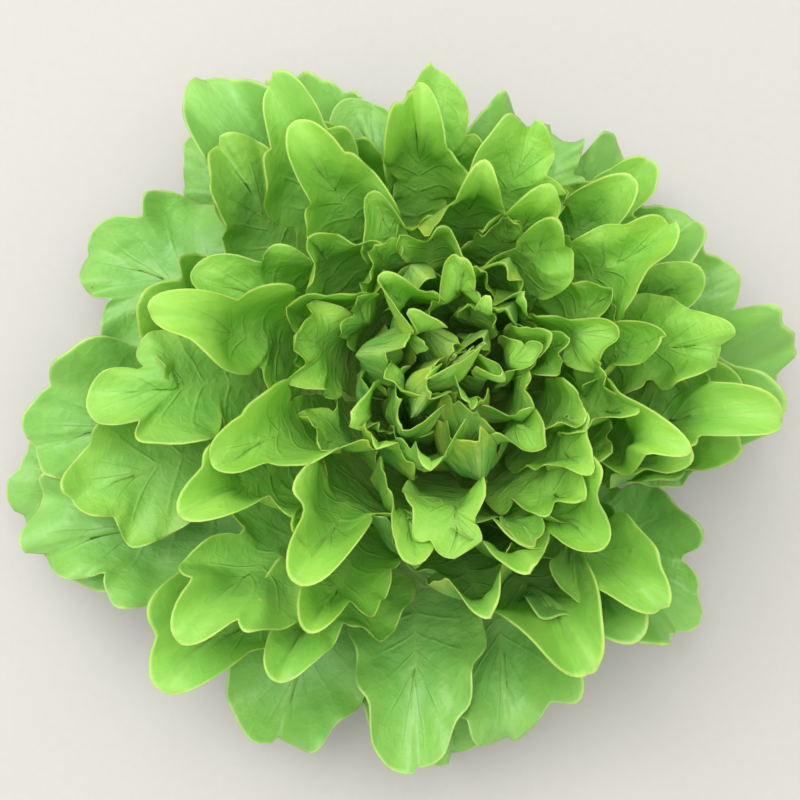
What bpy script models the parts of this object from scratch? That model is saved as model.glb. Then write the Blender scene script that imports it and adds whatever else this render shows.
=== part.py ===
import math
import random

import bmesh
import bpy
from mathutils import Vector

# A many-leaved oak-leaf lettuce, cut from its root, standing on its cut stem face.
# Metres, +Z up. The origin is the centre of the cut face.

leafTotal = 92          # leaves on the whole head, outermost first
leafSeparate = 58       # the ones that are their own solids; the rest make up the heart
goldenAngle = math.radians(137.508)

headRadius = 0.146      # reach of the outermost leaf tips
headTop = 0.158         # height of the innermost leaf tips
outerTipHeight = 0.012  # height of the outermost leaf tips
rootLow = 0.0075        # height where the lowest leaf leaves the stem
rootRise = 0.050        # the highest leaf leaves this much higher
heartAge = 0.627        # from this age on, the leaves belong to the heart
heartStep = 0.0025      # bare length of stem under the heart's first leaf

stemRings = (           # height, radius
    (0.0, 0.0135),
    (0.0025, 0.0152),
    (0.0110, 0.0162),
    (0.0220, 0.0150),
    (0.0340, 0.0122),
    (0.0422, 0.0100),
)
stemSides = 21
stemGap = 0.0003        # clear space between a leaf's root and the stem

bladeWidthOuter = 0.035  # half width of the widest leaves
lean = Vector((0.012, -0.001, 0.0))     # how far the crown leans by the top
reachSwing = 0.13                       # leaves reach further on one side
reachAngle = math.radians(190.0)
ovalSwing = 0.045                       # and further along that line than across it

# outline of a leaf: along-leaf position, half width as a share of the blade's
roundBlade = (
    (0.0, 0.16), (0.16, 0.17), (0.32, 0.30), (0.45, 0.52), (0.56, 0.80),
    (0.67, 0.97), (0.78, 1.0), (0.88, 0.92), (0.95, 0.72), (1.0, 0.42),
)
threeLobes = (
    (0.0, 0.16), (0.16, 0.17), (0.32, 0.30), (0.45, 0.50), (0.56, 0.84),
    (0.66, 1.0), (0.76, 0.74), (0.85, 0.86), (0.94, 0.76), (1.0, 0.44),
)
lowLobes = (
    (0.0, 0.16), (0.16, 0.17), (0.32, 0.34), (0.43, 0.66), (0.52, 0.88),
    (0.61, 0.70), (0.72, 0.88), (0.83, 1.0), (0.93, 0.82), (1.0, 0.48),
)
tipBow = 0.11           # how far each row of the blade bends back at its ends


def blend(low, high, x):
    t = min(max((x - low) / (high - low), 0.0), 1.0)
    return t * t * (3.0 - 2.0 * t)


def stemRadius(z):
    for (z0, r0), (z1, r1) in zip(stemRings, stemRings[1:]):
        if z <= z1:
            return r0 + (r1 - r0) * max(z - z0, 0.0) / (z1 - z0)
    (z0, r0), (z1, r1) = stemRings[-2:]
    return max(r1 + (r1 - r0) * (z - z1) / (z1 - z0), 0.0022)


def profile(age, along):
    # height line of the layer a leaf lies on: age 0 is the outermost leaf, 1 the innermost
    z0 = rootLow + rootRise * age ** 0.85 + heartStep * blend(heartAge, heartAge + 0.010, age)
    r0 = stemRadius(z0) + stemGap
    r3 = headRadius * (1.0 - age ** 1.6) ** 0.95 + 0.005 * age
    z3 = outerTipHeight + (headTop - outerTipHeight) * (1.0 - (1.0 - age) ** 2.2)
    chord = math.hypot(r3 - r0, z3 - z0)
    rootAngle = math.radians(10.0 + 58.0 * age ** 1.1)
    tipAngle = math.radians(-44.0 + 34.0 * age ** 0.5 + 45.0 * age ** 3)
    reach0 = 0.60 * chord * (1.0 - 0.30 * age)
    reach3 = 0.26 * chord * (1.0 - 0.30 * age)
    pts = (
        Vector((r0, z0)),
        Vector((r0 + reach0 * math.cos(rootAngle), z0 + reach0 * math.sin(rootAngle))),
        Vector((r3 - reach3 * math.cos(tipAngle), z3 - reach3 * math.sin(tipAngle))),
        Vector((r3, z3)),
    )
    a = 1.0 - along
    return (pts[0] * a ** 3 + pts[1] * (3 * a * a * along)
            + pts[2] * (3 * a * along * along) + pts[3] * along ** 3)


def warp(p):
    # reach and lean of the whole head, the same for every leaf and for the stem
    r = math.hypot(p.x, p.y)
    turn = math.atan2(p.y, p.x) - reachAngle
    swing = reachSwing * math.cos(turn) + ovalSwing * math.cos(2.0 * turn)
    swing *= blend(0.022, 0.11, r)
    out = Vector((p.x * (1.0 + swing), p.y * (1.0 + swing), p.z))
    return out + lean * max(p.z / headTop, 0.0) ** 2


def onLayer(age, along, angle):
    flat = profile(age, along)
    return Vector((flat.x * math.cos(angle), flat.x * math.sin(angle), flat.y))


def makeLeafMesh(mesh, index, cols, buried=0.0):
    # two skins over a grid of rows and columns, joined by a rim all round
    rng = random.Random(9000 + index)
    age = index / (leafTotal - 1)
    facing = index * goldenAngle + rng.uniform(-0.14, 0.14)
    kind = (threeLobes, roundBlade, lowLobes)[rng.choice((0, 0, 1, 2))]
    if buried:
        kind = kind[:8:2] + kind[8:]
    half = (bladeWidthOuter - 0.015 * age - 0.009 * age ** 3) * rng.uniform(0.88, 1.10)
    length = 1.015 - rng.uniform(0.0, 0.05 + 0.12 * blend(0.05, 0.35, age))
    skew = rng.uniform(-0.16, 0.16)
    cup = rng.uniform(1.0, 2.4) / leafTotal
    step = 1e-3
    front, back = [], []
    for along, share in kind:
        frontRow, backRow = [], []
        for c in range(cols + 1):
            t = 2.0 * c / cols - 1.0
            u = along * length - tipBow * (share * t) ** 2 * blend(0.35, 0.6, along)
            u += skew * 0.10 * share * t * blend(0.4, 1.0, along)
            layer = min(age + cup * t * t * blend(0.25, 0.7, along), 1.0)
            side = 1.0 + skew * t * blend(0.35, 0.7, along) * (1.0 - blend(0.8, 1.0, along))
            r = max(profile(layer, u).x, 1e-3)
            swing = min(half * share * side / r, 1.05) * t
            mid = onLayer(layer, u, facing + swing)
            alongDir = onLayer(layer, u + step, facing + swing) - mid
            acrossDir = Vector((-math.sin(facing + swing), math.cos(facing + swing), 0.0))
            normal = alongDir.cross(acrossDir).normalized()
            thickRoot = 0.0030 - 0.0014 * age
            thickBlade = 0.0013 - 0.0004 * age
            thick = thickBlade + (thickRoot - thickBlade) * (1.0 - blend(0.05, 0.75, along))
            thick *= 1.0 - 0.45 * t * t
            up = mid + normal * (thick / 2)
            down = mid - normal * (thick / 2)
            if along == 0.0:
                rise = thick * 0.55
                for p, z in ((up, mid.z + rise), (down, mid.z - rise)):
                    rr = stemRadius(z) + stemGap - buried
                    angle = facing + swing
                    p.xyz = (rr * math.cos(angle), rr * math.sin(angle), z)
            frontRow.append(warp(up))
            backRow.append(warp(down))
        front.append(frontRow)
        back.append(backRow)
    rows = len(front)
    bm = bmesh.new()
    f = [[bm.verts.new(p) for p in row] for row in front]
    b = [[bm.verts.new(p) for p in row] for row in back]
    for j in range(rows - 1):
        for c in range(cols):
            bm.faces.new((f[j][c], f[j][c + 1], f[j + 1][c + 1]))
            bm.faces.new((f[j][c], f[j + 1][c + 1], f[j + 1][c]))
            bm.faces.new((b[j][c], b[j + 1][c + 1], b[j][c + 1]))
            bm.faces.new((b[j][c], b[j + 1][c], b[j + 1][c + 1]))
        bm.faces.new((f[j][0], f[j + 1][0], b[j + 1][0], b[j][0]))
        bm.faces.new((f[j][cols], b[j][cols], b[j + 1][cols], f[j + 1][cols]))
    for c in range(cols):
        bm.faces.new((f[0][c], b[0][c], b[0][c + 1], f[0][c + 1]))
        bm.faces.new((f[-1][c], f[-1][c + 1], b[-1][c + 1], b[-1][c]))
    bmesh.ops.triangulate(bm, faces=bm.faces[:])
    bmesh.ops.recalc_face_normals(bm, faces=bm.faces[:])
    bm.to_mesh(mesh)
    bm.free()


def makeMaterial(name, colour, roughness):
    mat = bpy.data.materials.new(name)
    mat.use_nodes = True
    mat.diffuse_color = (*colour, 1.0)
    shader = mat.node_tree.nodes["Principled BSDF"]
    shader.inputs["Base Color"].default_value = (*colour, 1.0)
    shader.inputs["Roughness"].default_value = roughness
    shader.inputs["Metallic"].default_value = 0.0
    return mat


def addObject(name, mesh, colour, roughness):
    ob = bpy.data.objects.new(name, mesh)
    bpy.context.scene.collection.objects.link(ob)
    mesh.materials.append(makeMaterial(name, colour, roughness))
    return ob


def makeTurned(name, rings, sides):
    # closed solid of revolution with flat ends, bent with the rest of the head
    bm = bmesh.new()
    loops = []
    for z, r in rings:
        ring = []
        for k in range(sides):
            angle = 2 * math.pi * k / sides
            ring.append(bm.verts.new(warp(Vector((r * math.cos(angle), r * math.sin(angle), z)))))
        loops.append(ring)
    for low, high in zip(loops, loops[1:]):
        for k in range(sides):
            n = (k + 1) % sides
            bm.faces.new((low[k], low[n], high[n], high[k]))
    bm.faces.new(list(reversed(loops[0])))
    bm.faces.new(loops[-1])
    bmesh.ops.triangulate(bm, faces=bm.faces[:])
    bmesh.ops.recalc_face_normals(bm, faces=bm.faces[:])
    mesh = bpy.data.meshes.new(name)
    bm.to_mesh(mesh)
    bm.free()
    return mesh


def heartRings():
    # the growing tip that carries on from the stem, just clear of its top
    top = stemRings[-1][0] + stemGap
    rings = []
    for k in range(5):
        z = top + (rootLow + rootRise + heartStep + 0.002 - top) * k / 4
        rings.append((z, stemRadius(z) * (1.0 - 0.06 * k)))
    return rings


def makeHeart():
    # the growing tip with the small leaves grown out of it, fused into one solid
    core = addObject("heart_leaves", makeTurned("heart_leaves", heartRings(), 16),
                     (0.44, 0.62, 0.16), 0.5)
    for index in range(leafSeparate, leafTotal):
        mesh = bpy.data.meshes.new("bud")
        makeLeafMesh(mesh, index, 2, buried=0.0022)
        bud = bpy.data.objects.new("bud", mesh)
        bpy.context.scene.collection.objects.link(bud)
        cut = core.modifiers.new("fuse", "BOOLEAN")
        cut.operation = "UNION"
        cut.solver = "EXACT"
        cut.object = bud
        bpy.context.view_layer.update()
        graph = bpy.context.evaluated_depsgraph_get()
        fused = bpy.data.meshes.new_from_object(core.evaluated_get(graph))
        core.modifiers.clear()
        old = core.data
        core.data = fused
        bpy.data.meshes.remove(old)
        bpy.data.objects.remove(bud)
    return core


def main():
    for ob in list(bpy.data.objects):
        bpy.data.objects.remove(ob)
    addObject("stem", makeTurned("stem", stemRings, stemSides), (0.66, 0.70, 0.42), 0.55)
    groups = (("outer_leaf", 20, (0.13, 0.34, 0.07)),
              ("middle_leaf", 20, (0.20, 0.45, 0.08)),
              ("inner_leaf", 18, (0.30, 0.56, 0.10)))
    index = 0
    for name, count, colour in groups:
        for k in range(count):
            mesh = bpy.data.meshes.new(f"{name}_{k + 1:02d}")
            makeLeafMesh(mesh, index, 4)
            addObject(mesh.name, mesh, colour, 0.5)
            index += 1
    makeHeart()


main()
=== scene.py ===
import math
import random

import bpy
import numpy as np
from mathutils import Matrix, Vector
from mathutils.kdtree import KDTree


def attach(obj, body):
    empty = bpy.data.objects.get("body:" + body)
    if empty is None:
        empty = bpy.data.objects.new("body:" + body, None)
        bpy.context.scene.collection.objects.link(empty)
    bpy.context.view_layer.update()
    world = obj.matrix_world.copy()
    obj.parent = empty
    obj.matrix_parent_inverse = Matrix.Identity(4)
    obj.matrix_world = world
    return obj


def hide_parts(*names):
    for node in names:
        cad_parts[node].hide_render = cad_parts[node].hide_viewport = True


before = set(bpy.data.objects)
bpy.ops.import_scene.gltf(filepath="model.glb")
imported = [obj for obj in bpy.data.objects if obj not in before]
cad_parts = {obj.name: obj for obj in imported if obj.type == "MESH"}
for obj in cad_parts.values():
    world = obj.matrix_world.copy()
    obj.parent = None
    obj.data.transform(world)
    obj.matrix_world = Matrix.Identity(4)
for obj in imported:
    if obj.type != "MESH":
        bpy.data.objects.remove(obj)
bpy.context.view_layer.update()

# layout of the head: the same spiral and layers that the frame's leaves lie on
head = {
    "leaves": 92,            # outermost first
    "separate": 58,          # leaves that are pieces of their own
    "golden": math.radians(137.508),
    "radius": 0.146,
    "top": 0.158,
    "tipLow": 0.012,
    "rootLow": 0.0075,
    "rootRise": 0.050,
    "heartAge": 0.627,
    "heartStep": 0.0025,
    "stemHeights": (0.0, 0.0025, 0.011, 0.022, 0.034, 0.0422, 0.0712),
    "stemRadii": (0.0135, 0.0152, 0.0162, 0.0150, 0.0122, 0.0100, 0.0022),
    "gap": 0.0003,
    "lean": (0.012, -0.001, 0.0),
    "swing": 0.13,
    "oval": 0.045,
    "swingAngle": math.radians(190.0),
    "bladeHalf": 0.035,
}


def smooth(low, high, x):
    t = np.clip((np.asarray(x, float) - low) / (high - low), 0.0, 1.0)
    return t * t * (3.0 - 2.0 * t)


def stemRadius(z):
    return np.interp(z, head["stemHeights"], head["stemRadii"])


def profile(age, along):
    z0 = head["rootLow"] + head["rootRise"] * age ** 0.85
    z0 = z0 + head["heartStep"] * smooth(head["heartAge"], head["heartAge"] + 0.010, age)
    r0 = stemRadius(z0) + head["gap"]
    r3 = head["radius"] * (1.0 - age ** 1.6) ** 0.95 + 0.005 * age
    z3 = head["tipLow"] + (head["top"] - head["tipLow"]) * (1.0 - (1.0 - age) ** 2.2)
    chord = np.hypot(r3 - r0, z3 - z0)
    rootAngle = np.radians(10.0 + 58.0 * age ** 1.1)
    tipAngle = np.radians(-44.0 + 34.0 * age ** 0.5 + 45.0 * age ** 3)
    reach0 = 0.60 * chord * (1.0 - 0.30 * age)
    reach3 = 0.26 * chord * (1.0 - 0.30 * age)
    r1, z1 = r0 + reach0 * np.cos(rootAngle), z0 + reach0 * np.sin(rootAngle)
    r2, z2 = r3 - reach3 * np.cos(tipAngle), z3 - reach3 * np.sin(tipAngle)
    a = 1.0 - along
    r = r0 * a ** 3 + 3 * r1 * a * a * along + 3 * r2 * a * along * along + r3 * along ** 3
    z = z0 * a ** 3 + 3 * z1 * a * a * along + 3 * z2 * a * along * along + z3 * along ** 3
    return r, z


def warp(p):
    r = np.hypot(p[..., 0], p[..., 1])
    turn = np.arctan2(p[..., 1], p[..., 0]) - head["swingAngle"]
    swing = head["swing"] * np.cos(turn) + head["oval"] * np.cos(2.0 * turn)
    swing = 1.0 + swing * smooth(0.022, 0.11, r)
    out = np.stack((p[..., 0] * swing, p[..., 1] * swing, p[..., 2]), -1)
    rise = np.maximum(p[..., 2] / head["top"], 0.0) ** 2
    return out + rise[..., None] * np.array(head["lean"])


def layerPoint(age, along, angle):
    r, z = profile(age, along)
    return warp(np.stack((r * np.cos(angle), r * np.sin(angle), z), -1))


leafForm = {
    "names": ("three", "five", "five", "uneven", "mitten", "three"),
    "outerNames": ("broad", "mitten", "round", "broad", "three", "round"),
    "outerUpTo": 0.28,         # ages below this use the outer names
    "curl": (0.15, 0.72),      # how far a lobe rises or rolls out
    "spoon": (-0.05, 0.40),    # how far a lobe's sides rise
    "tipSpoon": (-0.08, 0.34),
    "widen": 1.02,             # the drawn leaf against the frame's leaf
    "thickness": 0.00085,
    "thicknessLoss": 0.0003,   # from the outermost leaf to the innermost
    "rootThickness": 0.0026,
    "rootLoss": 0.0014,
    "veinDip": 0.00055,
    "rib": 0.0011,             # height of the midrib under the leaf
    "lowest": 0.0012,          # clear of the floor
    "ceilingDrop": 0.004,      # the crown is held down softly from here
    "ceilingRise": 0.010,
    "ceilingSpan": 0.012,
}

lobeShapes = {           # place along the margin, spread, reach; the tip is at 1
    "three": ((0.65, 0.145, 1.06), (1.0, 0.27, 0.94)),
    "five": ((0.45, 0.105, 0.92), (0.70, 0.120, 1.08), (1.0, 0.225, 0.93)),
    "uneven": ((0.49, 0.125, 1.02), (0.75, 0.120, 1.02), (1.0, 0.22, 0.93)),
    "mitten": ((0.58, 0.17, 1.08), (1.0, 0.28, 0.98)),
    "broad": ((0.66, 0.17, 1.10), (1.0, 0.28, 0.96)),
    "round": ((0.60, 0.27, 0.94), (1.0, 0.31, 1.0)),
}


class Noise:
    # soft lumps over a flat leaf, from a seeded lattice
    def __init__(self, seed):
        self.table = np.random.default_rng(seed).random((64, 64))

    def at(self, x, y):
        i, j = np.floor(x).astype(int), np.floor(y).astype(int)
        u, v = x - i, y - j
        u, v = u * u * (3 - 2 * u), v * v * (3 - 2 * v)
        t = self.table
        a, b = t[i % 64, j % 64], t[(i + 1) % 64, j % 64]
        c, d = t[i % 64, (j + 1) % 64], t[(i + 1) % 64, (j + 1) % 64]
        return (a * (1 - u) + b * u) * (1 - v) + (c * (1 - u) + d * u) * v


def marginReach(s, lobes, wing):
    # distance from the midrib to the margin, as a share of the blade's half width
    petiole = 0.15 + 0.12 * smooth(0.02, 0.22, s)
    blade = wing * smooth(0.06, 0.42, s) ** 0.85
    base = np.maximum(petiole, blade)
    bumps = np.zeros_like(s)
    for place, spread, reach, curl, spoon in lobes:
        x = np.clip((s - place) / spread, -1.0, 1.0)
        bumps += (np.maximum(reach - wing, 0.0) * (1.0 - x * x) ** 0.52) ** 4
    return base + bumps ** 0.25


def leafPlan(index, age):
    rng = random.Random(9000 + index)
    facing = index * head["golden"] + rng.uniform(-0.14, 0.14)
    rng.choice((0, 0, 1, 2))  # the frame's leaf draws its outline here
    half = (head["bladeHalf"] - 0.015 * age - 0.009 * age ** 3) * rng.uniform(0.88, 1.10)
    half *= 0.95 + 0.12 * float(1.0 - smooth(0.10, 0.35, age))
    length = 1.015 - rng.uniform(0.0, 0.05 + 0.12 * float(smooth(0.05, 0.35, age)))
    rng = random.Random(400 + index)
    names = leafForm["outerNames"] if age < leafForm["outerUpTo"] else leafForm["names"]
    sides = []
    for side in range(2):
        lobes = []
        for place, spread, reach in lobeShapes[rng.choice(names)]:
            move = 0.0 if place == 1.0 else rng.uniform(-0.05, 0.05)
            curl = rng.choice((-1.0, 1.0, 1.0)) * rng.uniform(*leafForm["curl"])
            spoon = rng.uniform(*leafForm["spoon"])
            lobes.append((place + move, spread * rng.uniform(0.88, 1.12),
                          reach * rng.uniform(0.88, 1.08), curl, spoon))
        sides.append(lobes)
    tip = 0.5 * (sides[0][-1][2] + sides[1][-1][2])
    tipSpoon = rng.uniform(*leafForm["tipSpoon"])
    upright = float(smooth(0.02, 0.36, age))
    for lobes in sides:
        lobes[-1] = (1.0, lobes[-1][1], tip, 0.0, tipSpoon)
    return {
        "index": index,
        "age": age,
        "facing": facing,
        "half": half * leafForm["widen"],
        "length": length,
        "sides": sides,
        "wing": rng.uniform(0.44, 0.58) + 0.10 * (1.0 - upright),
        "cup": rng.uniform(0.6, 1.6),  # how far the margins rise, in layers at the rim
        "dish": rng.uniform(0.04, 0.24 + 0.38 * upright),  # spoon shape of the blade
        "tipCurl": rng.uniform(-0.25 - 0.20 * upright, 0.15 + 0.60 * upright),
        "frill": rng.uniform(0.06, 0.15),
        "frillCount": rng.uniform(2.2, 4.2),
        "ripple": rng.uniform(0.02, 0.07),  # waves of the outline itself
        "rippleCount": rng.uniform(26.0, 40.0),
        "buckle": rng.uniform(0.25, 0.55),  # soft folds across the blade
        "frillPhase": rng.uniform(0.0, 6.28),
        "twist": rng.uniform(-0.42, 0.42),
        "wave": rng.uniform(-0.14, 0.14),
        "wavePhase": rng.uniform(0.0, 6.28),
        "bend": rng.uniform(-0.16, 0.16),
        "pucker": rng.uniform(0.024, 0.048) * (1.5 - 0.7 * upright),
        "thickness": leafForm["thickness"] - leafForm["thicknessLoss"] * age,
        "rootThickness": leafForm["rootThickness"] - leafForm["rootLoss"] * age,
        "tone": rng.random(),
    }


def leafRows(plan, count):
    # rows are closer together where the margin runs fast round a lobe
    s = np.linspace(0.0, 1.0, 500)
    total = np.zeros_like(s)
    for lobes in plan["sides"]:
        w = marginReach(s, lobes, plan["wing"])
        step = np.hypot(np.diff(w) * 0.75, np.diff(s) * 1.2)
        total[1:] += np.cumsum(step)
    return np.interp(np.linspace(0.0, total[-1], count), total, s)


def layerLength(age):
    along = np.linspace(0.0, 1.05, 106)
    r, z = profile(age, along)
    run = np.concatenate(([0.0], np.cumsum(np.hypot(np.diff(r), np.diff(z)))))
    return along, run


def leafGrid(plan, rowCount, colCount):
    s = leafRows(plan, rowCount)
    t = 1.0 - (1.0 - np.linspace(0.0, 1.0, colCount)) ** 1.25
    return s, t


def leafSurface(plan, s, t):
    # middle surface of a leaf: both halves share the midrib and the line out to the tip
    s, t = s[:, None], t[None, :]
    age, half = plan["age"], plan["half"]
    alongTable, runTable = layerLength(age)
    fullLength = np.interp(1.0, alongTable, runTable) * plan["length"]
    tipReach = plan["sides"][0][-1][2] * half
    hub = fullLength - tipReach
    noise = Noise(plan["index"] + 77)
    origin = hub * (1.0 - (1.0 - s) ** 1.9)
    fan = np.radians(8.0 + 82.0 * s ** 2.2)
    halves = []
    for side, lobes in zip((-1.0, 1.0), plan["sides"]):
        w = marginReach(s, lobes, plan["wing"]) * half
        ripple = np.sin(s * plan["rippleCount"] + plan["frillPhase"] * 3.0 + side * 2.0)
        ripple = plan["ripple"] * ripple * smooth(0.25, 0.45, s)
        w = w * (1.0 + ripple * (1.0 - smooth(0.70, 0.92, s)))
        x = side * t * w * np.cos(fan)
        y = origin + t * w * np.sin(fan)
        far = t * w / half  # distance out from the midrib
        rise = smooth(0.22, 0.55, s)  # keeps all that follows off the petiole
        calm = 1.0 - smooth(0.72, 0.95, s)  # frills fade at the tip
        count, phase = plan["frillCount"], plan["frillPhase"]
        frill = np.sin(s * count * 9.0 + phase + side) * t ** 2.4 * (0.3 + 0.7 * calm)
        frill += 0.5 * np.sin(s * count * 21.0 + phase * 2.0) * t ** 3.5 * calm
        h = plan["dish"] * t ** 2.0 * smooth(0.10, 0.9, w / half)
        vein = np.exp(-(x / 0.0022) ** 2)
        for place, spread, reach, curl, spoon in lobes:
            away = np.clip((s - place) / (spread * 1.35), -1.0, 1.0)
            lobe = (1.0 - away ** 2) ** 1.5
            h = h + curl * lobe * smooth(0.25, 1.15, far) ** 1.3
            h = h + spoon * lobe * ((s - place) / spread) ** 2 * t ** 1.5
            lobeVein = 0.75 * np.exp(-((s - place) / 0.020) ** 2) * (1.0 - t ** 2)
            vein = np.maximum(vein, lobeVein)
        h = h + plan["tipCurl"] * smooth(0.0, 1.25, (y - hub * 0.93) / tipReach) ** 1.5
        h = h + plan["frill"] * frill
        h = h + plan["twist"] * x / half * smooth(0.4, 1.0, y / fullLength)
        h = h + plan["wave"] * np.sin(y / fullLength * 9.0 + plan["wavePhase"])
        buckle = noise.at(x / 0.015 + 40 + 3 * side, y / 0.017 + 30) - 0.5
        h = h + plan["buckle"] * buckle * (0.25 + 0.75 * t ** 1.5)
        lumps = noise.at(x / 0.0070 + 20, y / 0.0085 + 20) - 0.5
        lumps = lumps + 0.5 * (noise.at(x / 0.0036 + 5, y / 0.0042 + 9) - 0.5)
        room = 0.30 + 0.70 * smooth(0.50, 0.88, y / fullLength)
        h = h * room + plan["pucker"] * lumps * (0.35 + 0.65 * smooth(0.0, 0.25, t))
        h = h * half * rise - leafForm["veinDip"] * vein * rise
        layer = age + plan["cup"] / head["leaves"] * far ** 2 * rise
        along = np.interp(np.clip(y, 0.0, None), runTable, alongTable)
        along = along + np.maximum(y - runTable[-1], 0.0) / fullLength
        r = profile(np.minimum(layer, 1.0), along)[0]
        angle = plan["facing"] + 1.3 * np.tanh(x / np.maximum(r, 0.002) / 1.3)
        angle = angle + plan["bend"] * smooth(0.35, 1.0, y / fullLength)
        layer = np.clip(layer, 0.0, 1.0)
        p = layerPoint(layer, along, angle)
        da = layerPoint(layer, along + 1e-3, angle) - p
        dt = layerPoint(layer, along, angle + 1e-3) - p
        n = np.cross(da, dt)
        n /= np.linalg.norm(n, axis=-1, keepdims=True) + 1e-12
        halves.append({
            "points": p, "lift": n * h[..., None],
            "flatX": x + 0 * y, "flatY": y,
            "edge": t + 0 * s, "fan": s + 0 * t,
            "vein": vein * rise, "along": along,
        })
    return halves


# leaves push each other apart, though some still cut through a neighbour
settling = {
    "rows": 22,
    "cols": 7,
    "rounds": 14,
    "reach": 0.0048,
    "gap": 0.0013,
    "deep": 0.009,
    "width": 0.0034,
    "floor": 0.0016,
}


def gridNormals(points):
    # points: leaf, side, row, column, xyz
    ds = np.gradient(points, axis=2)
    dt = np.gradient(points, axis=3)
    n = np.cross(ds, dt)
    n[:, 0] *= -1.0
    n /= np.linalg.norm(n, axis=-1, keepdims=True) + 1e-12
    n[:, :, :, 0] = n[:, :, :, 0].mean(axis=1, keepdims=True)
    n[:, :, -1] = n[:, :, -1].mean(axis=1, keepdims=True)
    return n / (np.linalg.norm(n, axis=-1, keepdims=True) + 1e-12)


def evenOut(shift, hold):
    wide = np.pad(shift, ((0, 0), (0, 0), (1, 1), (1, 1), (0, 0)), mode="edge")
    around = wide[:, :, :-2, 1:-1] + wide[:, :, 2:, 1:-1]
    around = (around + wide[:, :, 1:-1, :-2] + wide[:, :, 1:-1, 2:]) / 4
    out = 0.5 * shift + 0.5 * around
    out[:, :, :, 0] = out[:, :, :, 0].mean(axis=1, keepdims=True)
    out[:, :, -1] = out[:, :, -1].mean(axis=1, keepdims=True)
    return out * hold


def settle(plans):
    rows, cols = settling["rows"], settling["cols"]
    flat, lift, grids = [], [], []
    for plan in plans:
        s, t = leafGrid(plan, rows, cols)
        halves = leafSurface(plan, s, t)
        flat.append([half["points"] for half in halves])
        lift.append([half["lift"] for half in halves])
        grids.append((s, t))
    flat, lift = np.array(flat), np.array(lift)
    hold = np.array([smooth(0.12, 0.40, s) for s, t in grids])[:, None, :, None, None]
    owner = np.repeat(np.arange(len(plans)), 2 * rows * cols)
    shift = np.zeros_like(flat)
    for turn in range(settling["rounds"]):
        grown = min(1.0, (turn + 3) / (settling["rounds"] - 1))
        now = flat + lift * grown + shift
        points = now.reshape(-1, 3)
        normals = gridNormals(now).reshape(-1, 3)
        tree = KDTree(len(points))
        for k, p in enumerate(points):
            tree.insert(p, k)
        tree.balance()
        inner, outer = [], []
        for k, p in enumerate(points):
            for found in tree.find_range(p, settling["reach"]):
                if owner[found[1]] < owner[k]:
                    inner.append(k)
                    outer.append(found[1])
        inner, outer = np.array(inner), np.array(outer)
        between = points[inner] - points[outer]
        apart = (between * normals[outer]).sum(1)
        beside = np.linalg.norm(between - apart[:, None] * normals[outer], axis=1)
        near = (apart < settling["gap"]) & (apart > -settling["deep"])
        near = near & (beside < settling["width"])
        inner, outer = inner[near], outer[near]
        push = normals[outer] * (settling["gap"] - apart[near])[:, None] * 0.5
        move, count = np.zeros_like(points), np.zeros(len(points))
        np.add.at(move, inner, push)
        np.add.at(move, outer, -push)
        np.add.at(count, inner, 1)
        np.add.at(count, outer, 1)
        move /= np.maximum(count, 1)[:, None]
        shift = evenOut(shift + move.reshape(shift.shape), hold)
        low = (flat + lift * grown + shift)[..., 2]
        shift[..., 2] += np.maximum(settling["floor"] - low, 0.0)
    print("leaves settled, last round moved", len(inner), "pairs")
    return grids, shift


def settledShift(grid, shift, s, t):
    # the shift found on the coarse grid, read off at finer rows and columns
    row = np.interp(s, grid[0], np.arange(len(grid[0])))
    col = np.interp(t, grid[1], np.arange(len(grid[1])))
    i = np.minimum(row.astype(int), len(grid[0]) - 2)
    j = np.minimum(col.astype(int), len(grid[1]) - 2)
    u, v = (row - i)[:, None, None], (col - j)[None, :, None]
    a, b = shift[i][:, j], shift[i + 1][:, j]
    c, d = shift[i][:, j + 1], shift[i + 1][:, j + 1]
    return (a * (1 - u) + b * u) * (1 - v) + (c * (1 - u) + d * u) * v


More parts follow.
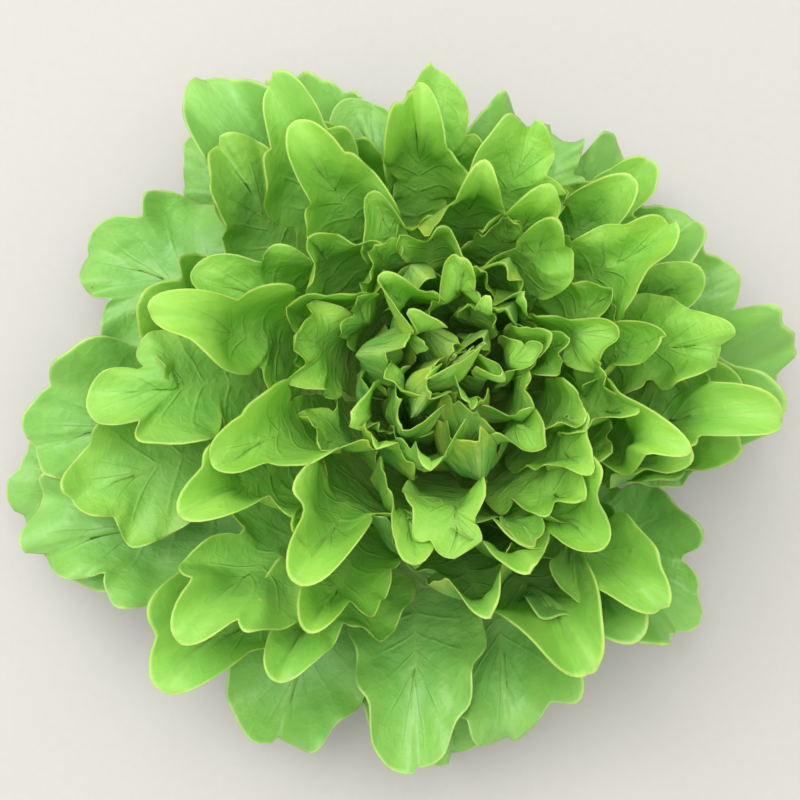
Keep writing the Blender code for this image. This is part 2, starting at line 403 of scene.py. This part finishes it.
def leafArrays(plan, grid, shift, rowCount, colCount):
    # closed leaf: an upper skin, a lower skin with its ribs standing out, and a rim
    s, t = leafGrid(plan, rowCount, colCount)
    left, right = leafSurface(plan, s, t)
    for side, half in enumerate((left, right)):
        moved = settledShift(grid, shift[side], s, t)
        half["points"] = half["points"] + half["lift"] + moved
        z = half["points"][..., 2]
        high = head["top"] - leafForm["ceilingDrop"]
        eased = np.tanh((z - high) / leafForm["ceilingSpan"])
        z = np.where(z > high, high + leafForm["ceilingRise"] * eased, z)
        half["points"][..., 2] = np.maximum(z, leafForm["lowest"])
    ids = np.arange(rowCount * colCount).reshape(rowCount, colCount)
    other = ids + rowCount * colCount
    other[:, 0] = ids[:, 0]
    other[-1, :] = ids[-1, :]
    both = np.concatenate((ids.ravel(), other.ravel()))
    keep, packed = np.unique(both, return_inverse=True)
    packed = packed.reshape(2, rowCount, colCount)
    joined = {}
    for key in left:
        if key != "lift":
            pair = [half[key].reshape(rowCount * colCount, -1) for half in (left, right)]
            joined[key] = np.concatenate(pair)[keep]
    points = joined.pop("points")
    facts = {key: value[:, 0] for key, value in joined.items()}
    quads = []
    for corners, flip in ((packed[0], False), (packed[1], True)):
        a, b = corners[:-1, :-1], corners[:-1, 1:]
        c, d = corners[1:, 1:], corners[1:, :-1]
        face = np.stack((a, d, c, b) if not flip else (a, b, c, d), -1)
        quads.append(face.reshape(-1, 4))
    quads = np.concatenate(quads)
    normals = surfaceNormals(points, quads)
    root = 1.0 - smooth(0.05, 0.62, facts["along"])
    thick = plan["thickness"] + (plan["rootThickness"] - plan["thickness"]) * root
    thick = thick * (1.0 - (0.55 + 0.30 * root) * facts["edge"] ** 1.5)
    rib = leafForm["rib"] * facts["vein"]
    rib = rib * (1.0 - 0.75 * facts["edge"]) * (1.0 - 0.5 * plan["age"])
    upper = points + normals * (thick * 0.5)[:, None]
    lower = points - normals * (thick * 0.5 + rib)[:, None]
    count = len(points)
    rim = boundaryLoop(quads)
    rimFaces = np.array([(b, a, a + count, b + count) for a, b in rim])
    faces = np.concatenate((quads, quads[:, ::-1] + count, rimFaces))
    facts = {k: np.concatenate((v, v)) for k, v in facts.items()}
    facts["back"] = np.concatenate((np.zeros(count), np.ones(count)))
    facts["tone"] = np.full(count * 2, plan["tone"])
    return np.concatenate((upper, lower)), faces, facts


def surfaceNormals(points, quads):
    p = points[quads]
    n = np.cross(p[:, 2] - p[:, 0], p[:, 3] - p[:, 1])
    total = np.zeros_like(points)
    for k in range(4):
        np.add.at(total, quads[:, k], n)
    return total / (np.linalg.norm(total, axis=1, keepdims=True) + 1e-15)


def boundaryLoop(quads):
    edges = np.concatenate([quads[:, (k, (k + 1) % 4)] for k in range(4)])
    key = np.sort(edges, axis=1)
    first, counts = np.unique(key, axis=0, return_index=True, return_counts=True)[1:]
    return [tuple(edges[i]) for i in first[counts == 1] if edges[i][0] != edges[i][1]]


def buildPiece(name, parts, material):
    points, faces, facts = [], [], {}
    start = 0
    for p, f, info in parts:
        points.append(p)
        faces.append(f + start)
        start += len(p)
        for key, value in info.items():
            facts.setdefault(key, []).append(value)
    points = np.concatenate(points)
    faces = np.concatenate(faces)
    mesh = bpy.data.meshes.new(name)
    mesh.from_pydata(points.tolist(), [], faces.tolist())
    for key, values in facts.items():
        layer = mesh.attributes.new(key, "FLOAT", "POINT")
        layer.data.foreach_set("value", np.concatenate(values).astype(np.float32))
    mesh.validate()
    mesh.update()
    mesh.shade_smooth()
    mesh.materials.append(material)
    piece = bpy.data.objects.new(name, mesh)
    bpy.context.scene.collection.objects.link(piece)
    return piece


class Shade:
    # wraps a socket, so that shader maths reads as Python
    def __init__(self, tree, socket=None):
        self.tree = tree
        self.socket = socket

    def node(self, kind, settings, inputs, output=0):
        made = self.tree.nodes.new(kind)
        for key, value in settings.items():
            setattr(made, key, value)
        for key, value in inputs.items():
            if isinstance(value, Shade):
                self.tree.links.new(value.socket, made.inputs[key])
            else:
                made.inputs[key].default_value = value
        return Shade(self.tree, made.outputs[output] if made.outputs else None)

    def math(self, operation, *values):
        return self.node("ShaderNodeMath", {"operation": operation}, dict(enumerate(values)))

    def __add__(self, other):
        return self.math("ADD", self, other)

    __radd__ = __add__

    def __sub__(self, other):
        return self.math("SUBTRACT", self, other)

    def __rsub__(self, other):
        return self.math("SUBTRACT", other, self)

    def __mul__(self, other):
        return self.math("MULTIPLY", self, other)

    __rmul__ = __mul__

    def step(self, low, high):
        settings = {"interpolation_type": "SMOOTHSTEP"}
        return self.node("ShaderNodeMapRange", settings, {0: self, 1: low, 2: high})

    def mix(self, first, second):
        # this socket is the factor
        settings = {"data_type": "RGBA", "clamp_factor": True}
        return self.node("ShaderNodeMix", settings, {0: self, 6: first, 7: second}, 2)

    def noise(self, place, scale, finer):
        inputs = {"Vector": place, "Scale": scale, "Detail": finer}
        return self.node("ShaderNodeTexNoise", {}, inputs)

    def fact(self, name):
        return self.node("ShaderNodeAttribute", {"attribute_name": name}, {}, 2)


def newMaterial(name):
    material = bpy.data.materials.new(name)
    material.use_nodes = True
    tree = material.node_tree
    tree.nodes.clear()
    return material, Shade(tree)


def rgb(r, g, b):
    # screen colour to linear light
    return tuple((c / 255 / 12.92 if c < 10.3 else ((c / 255 + 0.055) / 1.055) ** 2.4)
                 for c in (r, g, b)) + (1.0,)


# per group: deep is painted shade at the leaf bases; dark is painted shade in the hollows and
# blister dips and also the fine mottle; bright is painted light on the margins; sheen is a painted
# highlight
leafLooks = {
    "outer_leaf": {
        "body": rgb(112, 172, 68), "bright": rgb(162, 200, 72),
        "dark": rgb(76, 152, 70), "deep": rgb(72, 148, 84),
        "rim": rgb(206, 232, 130), "petiole": rgb(186, 216, 132),
        "back": rgb(134, 192, 92), "sheen": rgb(160, 204, 126),
        "glow": rgb(150, 205, 50), "roughness": 0.34,
        "coat": 0.25, "thin": 0.15,
    },
    "middle_leaf": {
        "body": rgb(134, 190, 72), "bright": rgb(190, 214, 72),
        "dark": rgb(78, 158, 72), "deep": rgb(72, 148, 84),
        "rim": rgb(212, 236, 120), "petiole": rgb(192, 222, 130),
        "back": rgb(140, 200, 84), "sheen": rgb(172, 214, 108),
        "glow": rgb(165, 215, 50), "roughness": 0.37,
        "coat": 0.15, "thin": 0.22,
    },
    "inner_leaf": {
        "body": rgb(152, 206, 78), "bright": rgb(204, 224, 76),
        "dark": rgb(82, 164, 74), "deep": rgb(104, 176, 92),
        "rim": rgb(216, 240, 122), "petiole": rgb(200, 228, 130),
        "back": rgb(146, 206, 82), "sheen": rgb(180, 224, 100),
        "glow": rgb(170, 220, 50), "roughness": 0.39,
        "coat": 0.10, "thin": 0.30,
    },
    "heart_leaf": {
        "body": rgb(160, 214, 86), "bright": rgb(206, 226, 80),
        "dark": rgb(88, 170, 76), "deep": rgb(104, 176, 92),
        "rim": rgb(222, 242, 128), "petiole": rgb(210, 234, 138),
        "back": rgb(152, 210, 84), "sheen": rgb(184, 226, 98),
        "glow": rgb(178, 225, 55), "roughness": 0.40,
        "coat": 0.08, "thin": 0.36,
    },
}


def leafMaterial(name, look):
    material, g = newMaterial(name)
    edge, fan, back = g.fact("edge"), g.fact("fan"), g.fact("back")
    along, tone, vein = g.fact("along"), g.fact("tone"), g.fact("vein")
    flatX, flatY = g.fact("flatX"), g.fact("flatY")
    place = g.node("ShaderNodeCombineXYZ", {}, {0: flatX, 1: flatY, 2: tone * 0.3})
    patches = g.noise(place, 55.0, 3.0)
    grain = g.noise(place, 420.0, 4.0)
    blisters = g.noise(place, 150.0, 2.0)
    cells = g.node("ShaderNodeTexVoronoi", {"feature": "DISTANCE_TO_EDGE"},
                   {"Vector": place, "Scale": 230.0, "Randomness": 0.9})
    net = 1.0 - cells.step(0.0, 0.12)
    # side veins run out along the fan lines and thin towards the margin
    wander = (patches - 0.5) * 0.05
    wave = g.math("ABSOLUTE", g.math("FRACT", (fan + wander) * 9.0) - 0.5) * 2.0
    sideVeins = (1.0 - wave.step(0.0, 0.22)) * (1.0 - edge.step(0.35, 0.95))
    sideVeins = sideVeins * edge.step(0.0, 0.12) * fan.step(0.25, 0.45)

    # painted shade: the leaf darkens to the deep colour towards its base, deep inside the head
    colour = along.step(0.50, 0.96).mix(look["deep"], look["body"])
    # painted shade: darker towards the midrib, in the hollow of the cupped blade
    paintedHollowShade = (1.0 - edge.step(0.0, 0.75)) * (0.55 - tone * 0.3)
    colour = paintedHollowShade.mix(colour, look["dark"])
    # painted light: brighter yellow-green towards the margins, where the lips turn up to the light
    paintedMarginLight = edge.step(0.35, 0.95) * patches.step(0.25, 0.62) * (0.55 + tone * 0.4)
    colour = paintedMarginLight.mix(colour, look["bright"])
    # painted shade in the blisters' dips and a painted highlight (sheen) on their tops
    colour = ((1.0 - blisters.step(0.34, 0.56)) * 0.42).mix(colour, look["dark"])
    colour = (blisters.step(0.52, 0.70) * 0.42).mix(colour, look["sheen"])
    colour = (net * 0.09 + sideVeins * 0.22).mix(colour, look["rim"])
    colour = (vein * 0.55).mix(colour, look["petiole"])
    colour = (grain.step(0.30, 0.75) * 0.18).mix(colour, look["dark"])
    colour = (back * 0.75).mix(colour, look["back"])
    colour = (1.0 - along.step(0.14, 0.46)).mix(colour, look["petiole"])
    rim = edge.step(0.976, 1.0) * fan.step(0.2, 0.4) * 0.6
    colour = rim.mix(colour, look["rim"])
    specks = g.node("ShaderNodeTexVoronoi", {},
                    {"Vector": place, "Scale": 90.0, "Randomness": 1.0})
    speck = (1.0 - specks.step(0.035, 0.06)) * patches.step(0.56, 0.62)
    colour = (speck * 0.5).mix(colour, rgb(46, 44, 22))

    height = patches * 0.7 + blisters * 1.1 + grain * 0.22 - net * 0.06 - sideVeins * 0.30
    height = height * (1.0 - back) - (height - 0.2) * back  # the back shows it inside out
    bump = g.node("ShaderNodeBump", {},
                  {"Height": height, "Strength": 0.75, "Distance": 0.0014})
    rough = look["roughness"] + patches * 0.06 + grain * 0.06 + back * 0.12
    shader = g.node("ShaderNodeBsdfPrincipled", {}, {
        "Base Color": colour, "Roughness": rough, "Normal": bump,
        "Subsurface Weight": 0.22, "Subsurface Radius": (0.5, 1.0, 0.2),
        "Subsurface Scale": 0.003, "Specular IOR Level": 0.42,
        "Coat Weight": look["coat"], "Coat Roughness": 0.22,
    })
    glow = g.node("ShaderNodeBsdfTranslucent", {}, {"Color": look["glow"], "Normal": bump})
    mixed = g.node("ShaderNodeMixShader", {}, {0: look["thin"], 1: shader, 2: glow})
    g.node("ShaderNodeOutputMaterial", {}, {"Surface": mixed})
    return material


def stemMaterial():
    material, g = newMaterial("stemFlesh")
    place = g.node("ShaderNodeNewGeometry", {}, {}, 0)
    fibres = g.noise(place, 900.0, 4.0)
    patches = g.noise(place, 160.0, 3.0)
    cut, ring, scar = g.fact("cut"), g.fact("ring"), g.fact("scar")
    colour = patches.step(0.3, 0.7).mix(rgb(196, 212, 146), rgb(218, 224, 174))
    colour = (scar * 0.8).mix(colour, rgb(150, 152, 96))
    face = ring.step(0.35, 0.9).mix(rgb(236, 236, 206), rgb(206, 214, 156))
    face = (patches.step(0.45, 0.75) * 0.45).mix(face, rgb(190, 158, 106))
    face = (ring.step(0.90, 0.99) * 0.7).mix(face, rgb(150, 112, 70))
    colour = cut.mix(colour, face)
    colour = (fibres.step(0.4, 0.8) * 0.18).mix(colour, rgb(150, 164, 92))
    height = fibres * 0.5 + patches * 0.5
    bump = g.node("ShaderNodeBump", {},
                  {"Height": height, "Strength": 0.5, "Distance": 0.0006})
    shader = g.node("ShaderNodeBsdfPrincipled", {}, {
        "Base Color": colour, "Roughness": 0.42 + fibres * 0.2, "Normal": bump,
        "Subsurface Weight": 0.2, "Subsurface Radius": (1.0, 0.9, 0.5),
        "Subsurface Scale": 0.003,
    })
    g.node("ShaderNodeOutputMaterial", {}, {"Surface": shader})
    return material


stemForm = {
    "sides": 96,
    "rings": 60,
    "capRings": 12,
    "top": 0.0420,
    "ribs": 0.0004,
    "scarDepth": 0.0006,
    "scarWidth": 0.0052,
    "scarHeight": 0.0016,
    "inset": 0.0001,
    "rough": 0.00035,     # unevenness of both end faces
}


def makeStem(material):
    sides, rings, capRings = stemForm["sides"], stemForm["rings"], stemForm["capRings"]
    noise = Noise(5)
    top = stemForm["top"]
    z = np.linspace(0.0, top, rings)
    angle = np.linspace(0.0, 2 * math.pi, sides, endpoint=False)
    zz, aa = np.meshgrid(z, angle, indexing="ij")
    scar = np.zeros_like(zz)
    for index in range(head["separate"]):
        age = index / (head["leaves"] - 1)
        plan = leafPlan(index, age)
        rootZ = profile(age, 0.0)[1]
        turn = (aa - plan["facing"] + math.pi) % (2 * math.pi) - math.pi
        across = turn * stemRadius(rootZ) / stemForm["scarWidth"]
        up = (zz - rootZ) / stemForm["scarHeight"]
        scar = np.maximum(scar, np.exp(-across ** 4 - up ** 2))
    lump = noise.at(aa * 6.0, zz / 0.004) - 0.5
    r = stemRadius(zz) - stemForm["inset"]
    r = r - stemForm["scarDepth"] * (1.0 - scar) * smooth(0.003, 0.006, zz)
    r = r - stemForm["ribs"] * np.abs(lump) * smooth(0.0, 0.004, zz)
    side = warp(np.stack((r * np.cos(aa), r * np.sin(aa), zz), -1)).reshape(-1, 3)
    points = [side]
    cutFact = [np.zeros(len(side))]
    ringFact = [np.ones(len(side))]
    scarFact = [scar.ravel()]
    for level, height in ((0, 0.0), (1, top)):
        for k in range(1, capRings):
            share = 1.0 - k / capRings
            rr = r[0 if level == 0 else -1] * share
            rough = (1 if level == 0 else -1) * stemForm["rough"] * smooth(0.0, 0.4, 1.0 - share)
            lift = height + rough * (0.4 + 0.6 * noise.at(angle * 9, np.full(sides, k * 0.9)))
            p = np.stack((rr * np.cos(angle), rr * np.sin(angle), lift), -1)
            points.append(warp(p))
            cutFact.append(np.ones(sides) * (level == 0))
            ringFact.append(np.full(sides, share))
            scarFact.append(np.zeros(sides))
    middle = warp(np.array([[0.0, 0.0, 0.00025], [0.0, 0.0, top - 0.0003]]))
    points.append(middle)
    cutFact.append(np.array([1.0, 0.0]))
    ringFact.append(np.zeros(2))
    scarFact.append(np.zeros(2))
    faces = []
    n = np.arange(sides)
    nxt = (n + 1) % sides

    def band(low, high):
        return np.stack((low + n, low + nxt, high + nxt, high + n), -1)

    for k in range(rings - 1):
        faces.append(band(k * sides, (k + 1) * sides))
    first = rings * sides
    bottom = [0] + [first + k * sides for k in range(capRings - 1)]
    upper = [(rings - 1) * sides]
    upper += [first + (capRings - 1 + k) * sides for k in range(capRings - 1)]
    for a, b in zip(bottom, bottom[1:]):
        faces.append(band(b, a))
    for a, b in zip(upper, upper[1:]):
        faces.append(band(a, b))
    centre = first + 2 * (capRings - 1) * sides
    faces.append(np.stack((bottom[-1] + nxt, bottom[-1] + n, np.full(sides, centre)), -1))
    faces.append(np.stack((upper[-1] + n, upper[-1] + nxt, np.full(sides, centre + 1)), -1))
    mesh = bpy.data.meshes.new("stemCore")
    allFaces = [face for part in faces for face in part.tolist()]
    mesh.from_pydata(np.concatenate(points).tolist(), [], allFaces)
    for key, values in (("cut", cutFact), ("ring", ringFact), ("scar", scarFact)):
        layer = mesh.attributes.new(key, "FLOAT", "POINT")
        layer.data.foreach_set("value", np.concatenate(values).astype(np.float32))
    mesh.shade_smooth()
    mesh.materials.append(material)
    piece = bpy.data.objects.new("stemCore", mesh)
    bpy.context.scene.collection.objects.link(piece)
    return piece


detail = {"rows": 76, "cols": 16}
heartDetail = {"rows": 48, "cols": 11}
materials = {name: leafMaterial(name, look) for name, look in leafLooks.items()}

# extra small leaves among the heart's, which is built in rings of leaves
heart = {"extra": 20, "from": 0.60, "to": 0.90, "rings": 6, "narrow": 0.92}
ages = [k / (head["leaves"] - 1) for k in range(head["leaves"])]
span = heart["to"] - heart["from"]
ages += [heart["from"] + span * (k + 0.5) / heart["extra"] for k in range(heart["extra"])]
plans = [leafPlan(index, age) for index, age in enumerate(sorted(ages))]
for plan in plans[head["separate"]:]:
    plan["half"] *= heart["narrow"] * float(1.0 - 0.30 * smooth(0.85, 1.0, plan["age"]))
grids, shifts = settle(plans)

index = 0
for group, count in (("outer_leaf", 20), ("middle_leaf", 20), ("inner_leaf", 18)):
    for k in range(count):
        part = leafArrays(plans[index], grids[index], shifts[index],
                          detail["rows"], detail["cols"])
        piece = buildPiece(f"{group}{k + 1:02d}", [part], materials[group])
        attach(piece, "root")
        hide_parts(f"{group}_{k + 1:02d}")
        index += 1
print("leaves made:", index)

heartLeaves = np.arange(head["separate"], len(plans))
for number, ring in enumerate(np.array_split(heartLeaves, heart["rings"])):
    parts = [leafArrays(plans[k], grids[k], shifts[k], heartDetail["rows"], heartDetail["cols"])
             for k in ring]
    piece = buildPiece(f"heartRing{number + 1}", parts, materials["heart_leaf"])
    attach(piece, "root")
    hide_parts("heart_leaves")
print("heart leaves made:", len(plans) - index)

stem = makeStem(stemMaterial())
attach(stem, "root")
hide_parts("stem")
print("stem made")

setting = {
    "floorColour": rgb(184, 182, 177),
    "speckleColour": rgb(174, 172, 167),
    "floorHalf": 4.0,
    "floorDrop": 0.0004,
    "sky": 1.0,
    "skyColour": (1.0, 0.985, 0.955, 1.0),
    "lightTarget": (0.0, 0.0, 0.05),
    "keyPower": 9.5,
    "keySize": 0.8,
    "keyPlace": (-0.35, 0.25, 1.15),
    "fillPower": 6.0,
    "fillSize": 0.7,
    "fillPlace": (0.12, -0.10, 1.30),
    "target": (-0.012, -0.002, 0.060),
    "distance": 0.625,
    "elevation": 81.0,
    "lens": 72.0,
}


def makeFloor():
    material, g = newMaterial("floorPaint")
    place = g.node("ShaderNodeTexCoord", {}, {}, 3)
    speckle = g.noise(place, 260.0, 3.0)
    colour = (speckle * 0.5).mix(setting["floorColour"], setting["speckleColour"])
    shader = g.node("ShaderNodeBsdfPrincipled", {}, {"Base Color": colour, "Roughness": 0.85})
    g.node("ShaderNodeOutputMaterial", {}, {"Surface": shader})
    mesh = bpy.data.meshes.new("floor")
    size = setting["floorHalf"]
    corners = [(-size, -size, 0), (size, -size, 0), (size, size, 0), (-size, size, 0)]
    mesh.from_pydata(corners, [], [(0, 1, 2, 3)])
    mesh.materials.append(material)
    floor = bpy.data.objects.new("floor", mesh)
    floor.location.z = -setting["floorDrop"]  # keeps it off the cut face
    bpy.context.scene.collection.objects.link(floor)


def makeLight(name, power, size, place):
    data = bpy.data.lights.new(name, "AREA")
    data.energy = power
    data.size = size
    lamp = bpy.data.objects.new(name, data)
    lamp.location = place
    aim = Vector(setting["lightTarget"]) - Vector(place)
    lamp.rotation_euler = aim.to_track_quat("-Z", "Y").to_euler()
    bpy.context.scene.collection.objects.link(lamp)


def makeCamera():
    data = bpy.data.cameras.new("camera")
    data.lens = setting["lens"]
    camera = bpy.data.objects.new("camera", data)
    tilt = math.radians(setting["elevation"])
    target = Vector(setting["target"])
    camera.location = target + setting["distance"] * Vector((0.0, -math.cos(tilt), math.sin(tilt)))
    aim = target - camera.location
    camera.rotation_euler = aim.to_track_quat("-Z", "Y").to_euler()
    bpy.context.scene.collection.objects.link(camera)
    bpy.context.scene.camera = camera


makeFloor()
makeLight("key", setting["keyPower"], setting["keySize"], setting["keyPlace"])
makeLight("fill", setting["fillPower"], setting["fillSize"], setting["fillPlace"])
world = bpy.data.worlds.new("sky")
world.use_nodes = True
world.node_tree.nodes["Background"].inputs[0].default_value = setting["skyColour"]
world.node_tree.nodes["Background"].inputs[1].default_value = setting["sky"]
bpy.context.scene.world = world
bpy.context.scene.view_settings.view_transform = "Standard"
makeCamera()
print("stage made")
